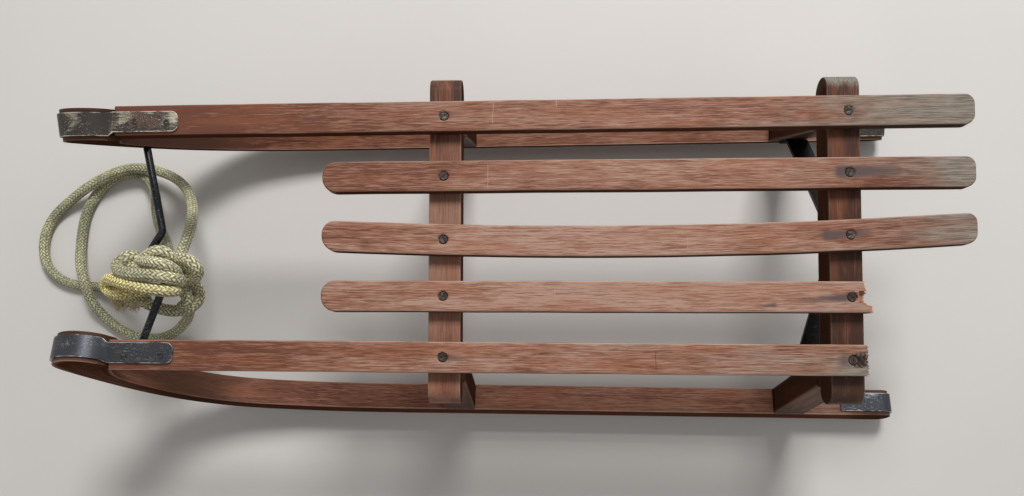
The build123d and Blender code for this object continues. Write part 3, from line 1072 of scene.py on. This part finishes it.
for side, place in ((-1, "near"), (1, "far")):
    for barU, part in ((0.0, "front"), (boardSettings["spacing"], "rear")):
        name = "leg" + part.title() + place.title()
        addLeg(name, "leg_%s_%s" % (part, place), side, barU, 11 + side * 3 + barU / 50)
for node, row in crossbars.items():
    addCrossbar("crossbar" + node.split("_")[1].title(), node, row)
print("legs and crossbars made")

for name, row in boards.items():
    addBoard(name, row)
print("seat boards made")

# Steel: shoes, brace, tow rod and screws

steelLooks = {
    "shoeNear": {
        "dark": (0.050, 0.053, 0.062), "bright": (0.36, 0.37, 0.39), "rust": (0.085, 0.042, 0.026),
        "brightness": 0.08, "rusting": 0.12, "roughness": (0.30, 0.46), "contrast": 1.0,
        "wearAndLightSpots": (
            (546, -164, 41, 20, 0.62, 0.0), (564, -176, 38, 20, -0.2, 0.0),
            # painted shade on the neck, and a darker nose
            (-362, -130, 248, 15, -0.55, 0.0), (-402, -130, 254, 30, -0.3, 0.0),
            # painted highlights along the nose's upper edge, then a bright spot at its lower edge
            (-411, -119, 257, 8, 0.8, 0.0), (-399, -118, 259, 8, 0.8, 0.0),
            (-408, -141, 254, 6, 0.8, 0.0),
        ),
    },
    "shoeFar": {
        "dark": (0.050, 0.046, 0.042), "bright": (0.52, 0.46, 0.37), "rust": (0.085, 0.042, 0.026),
        "brightness": 0.20, "rusting": 0.30, "roughness": (0.40, 0.60), "contrast": 0.6,
        "wearAndLightSpots": (
            # a worn bright patch on the nose, and painted shade on its neck
            (-397, 127, 257, 13, 0.5, -0.4), (-376, 130, 250, 17, -0.4, -0.3),
            (-420, 130, 240, 20, -0.3, -0.3), (-354, 130, 242, 10, 0.66, -0.5),
            (-338, 131, 242, 10, 0.2, 1.1), (-319, 127, 242, 9, 0.2, 1.1),
            (-299, 130, 242, 12, 0.66, -0.4), (-325, 139, 242, 6, 0.6, -0.6), (555, 172, 34, 45, -0.2, 0.0),
        ),
    },
    "brace": {
        "dark": (0.012, 0.012, 0.014), "bright": (0.07, 0.075, 0.085), "rust": (0.035, 0.022, 0.016),
        "brightness": 0.0, "rusting": 0.1, "roughness": (0.36, 0.52), "contrast": 1.0,
    },
    "rod": {
        "dark": (0.020, 0.021, 0.025), "bright": (0.22, 0.23, 0.25), "rust": (0.050, 0.030, 0.020),
        "brightness": -0.05, "rusting": 0.1, "roughness": (0.28, 0.42), "contrast": 1.0,
    },
    "screw": {
        "dark": (0.040, 0.034, 0.031), "bright": (0.26, 0.235, 0.22), "rust": (0.085, 0.042, 0.025),
        "brightness": 0.15, "rusting": 0.4, "roughness": (0.4, 0.6), "contrast": 1.0,
    },
    "screwBrass": {
        "dark": (0.035, 0.031, 0.028), "bright": (0.25, 0.22, 0.18), "rust": (0.07, 0.035, 0.02),
        "brightness": 0.3, "rusting": 0.3, "roughness": (0.4, 0.6), "contrast": 1.0,
    },
}


def steelMaterial(name, look):
    material, tree, shader = startMaterial(name)
    where = addNode(tree, "TexCoord", output="Object")
    wearAndLight, rustShade, rubbing = axes(attribute(tree, "steel"))
    patches = cloud(where, 45, 4, 0.6, 0.5)
    blots = cloud(stretched(where, (1, 1, 1), (3, 5, 7)), 130, 4, 0.65)
    scratches = cloud(stretched(where, (90, 700, 700)), 1, 3, 0.6)
    # Bare and dull steel, brighter or darker at spots of wear, painted highlight and painted shade, and the
    # corners that are rubbed bright
    level = ramp(scratches, 0.35, 0.75, -0.3, 0.45) + ramp(patches, 0.3, 0.7, -0.45, 0.3)
    level = level * look["contrast"] + look["brightness"] + wearAndLight
    level += ramp(rubbing, 0.45, 1.0) * ramp(patches, 0.3, 0.6, 0.45, 1.1)
    colour = mixColour(ramp(level, 0.2, 1.1), look["dark"], look["bright"])
    rusted = ramp(blots, 0.35, 0.7, -0.55, 0.5) + look["rusting"] + rustShade
    rusted = ramp(rusted, 0.3, 0.75)
    colour = mixColour(rusted * 0.85, colour, look["rust"])
    specks = ramp(cloud(where, 620, 3, 0.6), 0.58, 0.68)
    speckled = sums("ADD", wearAndLight * 1.1, 0.4, clamp=True) * specks
    setInputs(shader, {
        "Base Color": mixColour(speckled, colour, look["bright"]),
        "Metallic": 0.9 - rusted * 0.75,
        "Roughness": ramp(scratches, 0.3, 0.7, *look["roughness"]) + rusted * 0.25,
        "Normal": bump(blots * 0.8 + scratches * 0.25, 0.35, 0.0006),
    })
    return material


# Spots of wear and rust, and of painted highlight and painted shade: u, y, z and reach in millimetres, then
# how much brighter and how much rustier
def steelWearAndLight(look, place):
    bright, rust = 0.0, 0.0
    for u, y, z, reach, brighter, rustier in look["wearAndLightSpots"]:
        away = (place - Vector((frontBarX / mm + u, y, z))).length
        share = 1 - smoothStep(away, 0.3 * reach, 1.3 * reach)
        bright += brighter * share
        rust += rustier * share
    return bright, rust


steels = {name: steelMaterial(name + "Steel", look) for name, look in steelLooks.items()}


# One ring of a shoe: two inner corners, and on the outer face a spot beside each corner and one
# in the middle
def shoeRing(inner, outer, half):
    beside = half - shoeSettings["rub"]
    ring = [(*inner, -half), (*inner, half)]
    return ring + [(*outer, across) for across in (half, beside, 0, -beside, -half)]


# A shoe's rings: over the tail, along the bottom, round the nose, down its neck and onto the rail
def shoeRings(side, row):
    settings = shoeSettings
    gap, far = settings["gap"], settings["gap"] + settings["thick"]
    tail, corner, wood = [runnerSettings[key] for key in ("tailU", "tailCorner", "thick")]
    start = tail - corner
    spots = [((u, wood + gap), (u, wood + far)) for u in steps(tail - settings["tailLap"], start, 8)]
    for middleS, first, last in ((wood - corner, 90, 0), (corner, 0, -90)):
        centre = Vector((start, middleS))
        for angle in steps(math.radians(first), math.radians(last), 9):
            way = Vector((math.cos(angle), math.sin(angle)))
            spots.append((centre + way * (corner + gap), centre + way * (corner + far)))
    spots += [((u, -gap), (u, -far)) for u in soleSteps()]
    for bend in bendRows:
        for slope in bendSteps(bend, bend["to"]):
            spots.append((bendSpot(bend, slope, gap), bendSpot(bend, slope, far)))
    plane = runnerPlane(side)
    made = [
        [plane @ Vector(spot) for spot in shoeRing(inner, outer, settings["width"] / 2)]
        for inner, outer in spots
    ]
    startU = runnerSettings["noseBack"] + settings["railGap"]
    low = Vector((frontBarX + startU * mm, 0, seatTop + gap * mm))
    slope = (row["rearY"] - row["frontY"]) / boardSettings["spacing"]
    corner = settings["strapCorner"]
    straight = settings["strapLength"] - corner
    places = steps(0, straight, 8)
    places += [straight + corner * math.sin(angle) for angle in steps(0, math.pi / 2, 8)][1:]
    strap = []
    for place in places:
        half = settings["strapWidth"] / 2
        if place > straight:
            half -= corner - math.sqrt(max(0.0, corner ** 2 - (place - straight) ** 2))
        y = boardLine(row, startU + place) - side * settings["strapInset"]
        ring = shoeRing((0,), (settings["thick"],), half)
        strap.append([
            low + Vector((place + across * slope, y - across, height)) * mm for height, across in ring
        ])
    neck = []
    for share in steps(0, 1, settings["neckSteps"])[1:-1]:
        share = 0.6 * share + 0.4 * smoothStep(share, 0, 1)
        neck.append([a.lerp(b, share) for a, b in zip(made[-1], strap[0])])
    return made + neck + strap


def addShoe(name, node, side, row):
    rings = []
    for ring in shoeRings(side, row):
        if not rings or min((a - b).length for a, b in zip(ring, rings[-1])) > 2e-5:
            rings.append(ring)
    bm = bmesh.new()
    rings = [[point / mm for point in ring] for ring in rings]
    corners = skinRings(bm, rings, shoeSettings["cornerSpots"])
    bevelEdges(bm, corners, shoeSettings["edge"], 2)
    steel = bm.verts.layers.float_vector.new("steel")
    spokes = bm.verts.layers.int["spoke"]
    for vertex in bm.verts:
        rubbed = vertex[spokes] in shoeSettings["cornerSpots"]
        vertex[steel] = (*steelWearAndLight(steelLooks[name], vertex.co), 1.0 if rubbed else 0.0)
    bmesh.ops.scale(bm, vec=(mm, mm, mm), verts=bm.verts)
    addPiece(name, bm, steels[name], [node])


addShoe("shoeNear", "shoe_near", -1, boards["rail_near"])
addShoe("shoeFar", "shoe_far", 1, boards["rail_far"])
for node, look in (("brace", "brace"), ("tow_rod", "rod")):
    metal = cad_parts[node]
    if not metal.material_slots:
        metal.data.materials.append(steels[look])
    for holder in metal.material_slots:
        holder.material = steels[look]
print("shoes, brace and rod made")

# Slotted screws, with the slot's turn in degrees

screwSettings = {
    "seat": {"radius": 4.5, "depth": 2.6},
    "seatDrop": 0.9,
    "strap": {"radius": 3.3, "depth": 1.2},
    "strapRise": 0.1,
    "taper": 0.93,
    "edge": 0.35,
    "slotWidth": 1.1,
    "slotWall": 0.06,
    "slotDepth": 0.9,
}
# Turn of each board's front and rear screw
seatScrews = {
    "rail_far": (40, 12),
    "slat_far": (33, 80),
    "slat_middle": (110, 25),
    "slat_near": (60, 140),
    "rail_near": (15, 95),
}
# x, y and turn of the screws in the straps
strapScrews = (
    (-0.4165, -0.1307, 35), (-0.3763, -0.1300, 8), (-0.4105, 0.1262, 50), (-0.3752, 0.1248, 10),
)


def screwHead(radius, depth, turn):
    settings = screwSettings
    bm = bmesh.new()
    lower = radius * settings["taper"]
    bmesh.ops.create_cone(bm, cap_ends=True, segments=32, radius1=lower, radius2=radius, depth=depth)
    rim = [edge for edge in bm.edges if all(vertex.co.z > 0 for vertex in edge.verts)]
    bevelEdges(bm, rim, settings["edge"], 2)
    half = settings["slotWidth"] / 2
    outside = half + settings["slotWall"]
    cutAcross(bm, (-outside, -half, half, outside), (0, 1, 0))
    for vertex in bm.verts:
        if abs(vertex.co.y) < half + 1e-3 and vertex.co.z > 0:
            vertex.co.z -= settings["slotDepth"]
    bm.transform(Matrix.Rotation(math.radians(turn), 4, "Z"))
    return bm


def addScrews(name, size, heads, look):
    whole = bmesh.new()
    for place, turn in heads:
        bm = screwHead(size["radius"], size["depth"], turn)
        bm.transform(Matrix.Translation(place) @ Matrix.Scale(mm, 4))
        joinInto(whole, bm)
    addPiece(name, whole, steels[look])


drop = (screwSettings["seatDrop"] + screwSettings["seat"]["depth"] / 2) * mm
heads = []
for name, turns in seatScrews.items():
    for u, turn in zip((0.0, boardSettings["spacing"]), turns):
        place = Vector((frontBarX + u * mm, boardLine(boards[name], u) * mm, seatTop - drop))
        heads.append((place, turn))
addScrews("seatScrews", screwSettings["seat"], heads, "screw")
top = seatTop + (shoeSettings["gap"] + shoeSettings["thick"] + screwSettings["strapRise"]) * mm
heads = [(Vector((x, y, top)), turn) for x, y, turn in strapScrews]
addScrews("strapScrews", screwSettings["strap"], heads, "screwBrass")
print("screws made")

# Cords: the rope's two lengths and its knot

ropeSettings = {
    "radius": 0.0065,
    "around": 48,
    "step": 0.0010,
    "strands": 10,
    "strandPitch": 0.0050,
    "strandDepth": 0.0010,
    "strandLevel": 0.62,
    "knotSwell": 1.12,
    "outer": (
        (-408, -10, 139), (-406, 8, 131), (-407, 28, 115), (-414, 55, 90), (-428, 82, 64),
        (-446, 105, 44), (-468, 122, 30), (-493, 133, 24), (-517, 138, 23.5), (-541, 137, 23.5),
        (-566, 128, 23.5), (-596, 112, 21.5), (-628, 94, 11), (-653, 73, 6.5), (-664, 49, 6.5),
        (-666, 25, 6.5), (-660, 2, 6.5), (-643, -15, 6.5), (-619, -24, 6.5), (-590, -26, 7.5),
        (-562, -29, 22), (-533, -30, 46), (-504, -27, 80), (-482, -27, 108),
    ),
    "inner": (
        (-419, -9, 138), (-429, 8, 124), (-449, 30, 98), (-470, 56, 72), (-487, 87, 43.5),
        (-502, 112, 22), (-521, 129, 9.5), (-547, 135.5, 6.5), (-573, 126, 6.5), (-591, 107, 6.5),
        (-604, 84, 6.5), (-610, 57, 6.5), (-611, 30, 8.5), (-606, 3, 17.5), (-594, -22, 25.3),
        (-587, -48, 21.3), (-575, -68, 9.5), (-555, -86, 6.5), (-530, -97, 6.5),
        (-503, -100, 6.5), (-476, -94, 13), (-451, -81, 30), (-431, -67, 56), (-417, -56, 88),
        (-411, -47, 118),
    ),
    "outerLength": 0.70,
    "innerLength": 0.725,
}
# The knot's own strands, laid one by one: tone at the start and at the end, from green 0 to
# yellow 1, and the places
knotStrands = {
    "cap": ((0.6, 0.5), (
        (-409, -12, 146), (-411, -6, 158), (-419, -2, 164), (-430, -5, 162), (-444, -10, 152),
        (-457, -15, 138),
    )),
    "cream": ((0.7, 0.74), (
        (-456, -11, 142), (-440, -15, 160), (-423, -18, 172), (-410, -20, 176), (-403, -23, 170),
        (-402, -28, 154), (-409, -34, 136),
    )),
    "grey": ((0.4, 0.55), (
        (-455, -7, 136), (-460, -6, 146), (-465, -9, 156), (-473, -17, 158), (-470, -26, 162),
        (-454, -31, 170), (-437, -33, 175), (-420, -34, 177), (-408, -35, 174), (-400, -36, 164),
        (-399, -36, 152), (-406, -36, 138),
    )),
    "yellow": ((0.78, 1.12), (
        (-424, -44, 136), (-410, -46, 142), (-403, -49, 154), (-408, -51, 166), (-420, -50, 171),
        (-438, -47, 170), (-456, -43, 166), (-473, -38, 158), (-489, -33, 146), (-500, -39, 136),
        (-497, -47, 134), (-481, -52, 142), (-466, -51, 148), (-456, -47, 144), (-449, -49, 134),
    )),
    "lobe": ((0.4, 0.5), (
        (-420, -11, 140), (-405, -9, 148), (-388, -12, 156), (-379, -19, 154), (-381, -28, 144),
        (-393, -33, 134), (-408, -31, 126), (-421, -25, 122),
    )),
    # The under strand's high tone is painted light, lifting it out of the knot's shade
    "under": ((0.65, 0.55), (
        (-405, -29, 122), (-396, -37, 116), (-393, -48, 112), (-397, -59, 110), (-408, -67, 110),
        (-424, -70, 110), (-441, -68, 110), (-457, -62, 112), (-467, -56, 118),
    )),
    # The inside strand's high tone is painted light, lifting it out of the knot's shade
    "inside": ((0.6, 0.6), (
        (-412, -38, 132), (-407, -46, 124), (-404, -55, 120), (-408, -63, 116), (-420, -67, 112),
    )),
    "tuck": ((0.6, 0.75), (
        (-449, -57, 124), (-463, -56, 122), (-475, -57, 120), (-485, -59, 118),
    )),
    "lobeFill": ((0.35, 0.35), (
        (-410, -15, 140), (-399, -16, 143), (-390, -20, 142), (-391, -26, 138), (-401, -29, 132),
        (-412, -30, 128),
    )),
    "riser": ((0.1, 0.4), (
        (-490, -27, 98), (-482, -27, 108), (-474, -27.5, 120), (-466, -28, 132), (-457, -29, 144),
        (-446, -30, 152),
    )),
    "core": ((0.55, 0.55), (
        (-454, -37, 150), (-439, -25, 150), (-420, -27, 156), (-411, -33, 150), (-412, -42, 138),
    )),
    "coreUpper": ((0.55, 0.55), (
        (-467, -20, 150), (-449, -21, 152), (-429, -23, 156), (-414, -15, 152), (-406, -17, 140),
    )),
}


def routeLine(points, step):
    curve = bpy.data.curves.new("route", "CURVE")
    curve.dimensions = "3D"
    spline = curve.splines.new("NURBS")
    spline.points.add(len(points) - 1)
    for point, place in zip(spline.points, points):
        point.co = (*(part * mm for part in place), 1)
    spline.order_u = 3
    spline.use_endpoint_u = True
    spline.resolution_u = 16
    carrier = addObject("route", curve)
    bpy.context.view_layer.update()
    mesh = bpy.data.meshes.new_from_object(carrier)
    line = [vertex.co.copy() for vertex in mesh.vertices]
    bpy.data.objects.remove(carrier)
    bpy.data.meshes.remove(mesh)
    return evenLine(line, step)


def lineLength(line):
    return sum((b - a).length for a, b in zip(line, line[1:]))


def evenLine(line, step):
    length = lineLength(line)
    count = max(4, round(length / step))
    gap = length / count
    even = [line[0].copy()]
    done = 0.0
    wanted = gap
    for a, b in zip(line, line[1:]):
        run = (b - a).length
        while run > 0 and done + run >= wanted - 1e-9 and len(even) < count:
            even.append(a.lerp(b, (wanted - done) / run))
            wanted += gap
        done += run
    even.append(line[-1].copy())
    return even


def lineFrames(line):
    tangents = []
    for index in range(len(line)):
        before = line[max(0, index - 1)]
        after = line[min(len(line) - 1, index + 1)]
        tangents.append((after - before).normalized())
    side = tangents[0].orthogonal().normalized()
    frames = []
    for tangent in tangents:
        side = (side - tangent * side.dot(tangent)).normalized()
        frames.append((side, tangent.cross(side)))
    return frames


# A round braid: each strand goes over two and under two of the others
def braidHeight(angle, along, settings):
    share = settings["strands"] * angle / (2 * math.pi)
    turn = along / settings["strandPitch"]
    first, second = share + turn, share - turn
    firstCell, secondCell = math.floor(first), math.floor(second)
    firstShare, secondShare = first - firstCell, second - secondCell
    phase = (firstCell + secondCell) % 4
    if phase < 2:
        acrossStrand, alongStrand = firstShare, (phase + secondShare) / 2
    else:
        acrossStrand, alongStrand = secondShare, (phase - 2 + firstShare) / 2
    ridge = math.sqrt(max(0.0, 1 - (2 * acrossStrand - 1) ** 2))
    arch = math.sin(math.pi * min(1.0, max(0.0, alongStrand)))
    return ridge * (0.45 + 0.55 * math.sqrt(max(0.0, arch)))


# A grid of faces wrapped round a line as a braided tube, closed at both ends
def braidTube(points, settings, tones):
    line = routeLine(points, settings["step"])
    bm = bmesh.new()
    values = bm.verts.layers.float_vector.new("braid")
    frames = lineFrames(line)
    rings, around = len(line) - 1, settings["around"]
    step = lineLength(line) / rings
    made = bmesh.ops.create_grid(bm, x_segments=rings, y_segments=around, size=1)
    for vertex in made["verts"]:
        index = round((vertex.co.x + 1) / 2 * rings)
        spoke = round((vertex.co.y + 1) / 2 * around) % around
        angle = 2 * math.pi * spoke / around
        height = braidHeight(angle, index * step, settings)
        radius = settings["radius"] + settings["strandDepth"] * (height - settings["strandLevel"])
        fromEnd = min(index, rings - index) * step
        if fromEnd < settings["radius"]:
            inset = 1 - fromEnd / settings["radius"]
            radius *= math.sqrt(max(0.04, 1 - inset * inset))
        side, up = frames[index]
        vertex.co = line[index] + (side * math.cos(angle) + up * math.sin(angle)) * radius
        tone = tones[0] + (tones[1] - tones[0]) * index / rings
        vertex[values] = (height, index * step, tone)
    bmesh.ops.remove_doubles(bm, verts=made["verts"], dist=1e-6)
    bmesh.ops.holes_fill(bm, edges=[edge for edge in bm.edges if edge.is_boundary], sides=0)
    bmesh.ops.recalc_face_normals(bm, faces=bm.faces)
    return bm, line


def addRope(name, points, tones, node):
    bm, line = braidTube(points, ropeSettings, tones)
    piece = addPiece(name, bm, ropeFinish, [node], weighed=False)
    print(name, "length", round(lineLength(line), 4), "faces", len(piece.data.polygons))
    return piece, line


# The rope's finish: the hollow's colour and the strand's colour of each tone
ropeColours = {
    "green": ((0.020, 0.020, 0.008), (0.295, 0.298, 0.168)),
    "cream": ((0.055, 0.048, 0.018), (0.76, 0.71, 0.45)),
    # The yellow strand's colour is its own yellow, raised past it as painted light where it lies in the
    # knot's shade
    "yellow": ((0.17, 0.120, 0.020), (1.0, 0.86, 0.34)),
    "dirt": (0.12, 0.11, 0.06),
    "fluff": (0.62, 0.62, 0.46),
    "fray": (0.66, 0.55, 0.36),
}


def ropeMaterial(colours):
    material, tree, shader = startMaterial("braidedRope")
    height, along, tone = axes(attribute(tree, "braid"))
    where = addNode(tree, "TexCoord", output="Object")
    strand = ramp(height, 0.32, 0.97)
    green, cream, yellow = [mixColour(strand, *colours[key]) for key in ("green", "cream", "yellow")]
    patches = ramp(cloud(where, 22, 3), 0.35, 0.65)
    colour = mixColour(sums("ADD", patches * 0.5, tone, clamp=True), green, cream)
    colour = mixColour(ramp(tone, 0.72, 1.0), colour, yellow)
    colour = mixColour(ramp(cloud(where, 60, 4), 0.5, 0.75, 0.0, 0.45), colour, colours["dirt"])
    speckle = ramp(cloud(where, 430, 2), 0.34, 0.66, 0.55, 1.45)
    colour = mixColour(1.0, colour, speckle, "MULTIPLY")
    fibre = cloud(where, 1400, 2)
    colour = mixColour(ramp(fibre, 0.35, 0.7, 0.0, 0.25), colour, colours["fluff"])
    setInputs(shader, {
        "Base Color": mixColour(ramp(tone, 1.4, 1.6), colour, colours["fray"]),
        "Roughness": 0.72,
        "Specular IOR Level": 0.3,
        "Sheen Weight": 0.15,
        "Normal": bump(fibre, 0.35, 0.0004),
    })
    return material


ropeFinish = ropeMaterial(ropeColours)


fraySettings = {
    "count": 520,
    "root": (-478, -55, 123),
    "rootSpread": ((-13, 15), (-5, 5), (-5, 5)),
    "wayX": (-1.2, -0.1),
    "wayY": (-0.6, 0.1),
    "waySway": ((-0.25, 0.25), (-0.35, 0.25)),
    "length": (0.008, 0.017),
    "sag": (0.002, 0.009),
    "sway": 0.004,
    "radius": 0.0006,
    "tone": 2.0,
    "seed": 7,
}


# The rope's frayed end: thin bent fibres that fan out of the tucked strand
def addFray(bm, settings, values):
    draw = random.Random(settings["seed"])
    root = Vector(settings["root"]) * mm
    for index in range(settings["count"]):
        spread = draw.random()
        wayX = settings["wayX"][0] + (settings["wayX"][1] - settings["wayX"][0]) * spread
        wayY = settings["wayY"][1] + (settings["wayY"][0] - settings["wayY"][1]) * spread
        swayY, swayZ = [draw.uniform(*span) for span in settings["waySway"]]
        way = Vector((wayX, wayY + swayY, swayZ)).normalized()
        start = root + Vector([draw.uniform(*span) for span in settings["rootSpread"]]) * mm
        length = draw.uniform(*settings["length"])
        sag = draw.uniform(*settings["sag"])
        sway = Vector((draw.uniform(-1, 1), draw.uniform(-1, 1), 0)) * settings["sway"]
        tone = draw.uniform(0.5, 1.0)
        side = way.orthogonal().normalized()
        up = way.cross(side)
        made = bmesh.ops.create_grid(bm, x_segments=6, y_segments=4, size=1)
        for vertex in made["verts"]:
            share = (vertex.co.x + 1) / 2
            angle = math.pi * (vertex.co.y + 1)
            radius = settings["radius"] * (1 - 0.5 * share)
            place = way * (length * share) + sway * math.sin(share * math.pi)
            place -= Vector((0, 0, sag * share * share))
            vertex.co = start + place + (side * math.cos(angle) + up * math.sin(angle)) * radius
            vertex[values] = (0.45 + 0.4 * tone, share, settings["tone"])
        bmesh.ops.remove_doubles(bm, verts=made["verts"], dist=1e-7)


def addKnot():
    settings = dict(ropeSettings, radius=ropeSettings["radius"] * ropeSettings["knotSwell"])
    bm = bmesh.new()
    values = bm.verts.layers.float_vector.new("braid")
    for tones, points in knotStrands.values():
        strand, line = braidTube(points, settings, tones)
        joinInto(bm, strand)
    addFray(bm, fraySettings, values)
    return addPiece("ropeKnot", bm, ropeFinish, ["rope_knot"], weighed=False)


ropeKnot = addKnot()
ropeOuter, outerLine = addRope("ropeOuter", ropeSettings["outer"], (0.25, 0.0), "rope_outer")
ropeInner, innerLine = addRope("ropeInner", ropeSettings["inner"], (0.0, 0.2), "rope_inner")
print("rope and knot made")
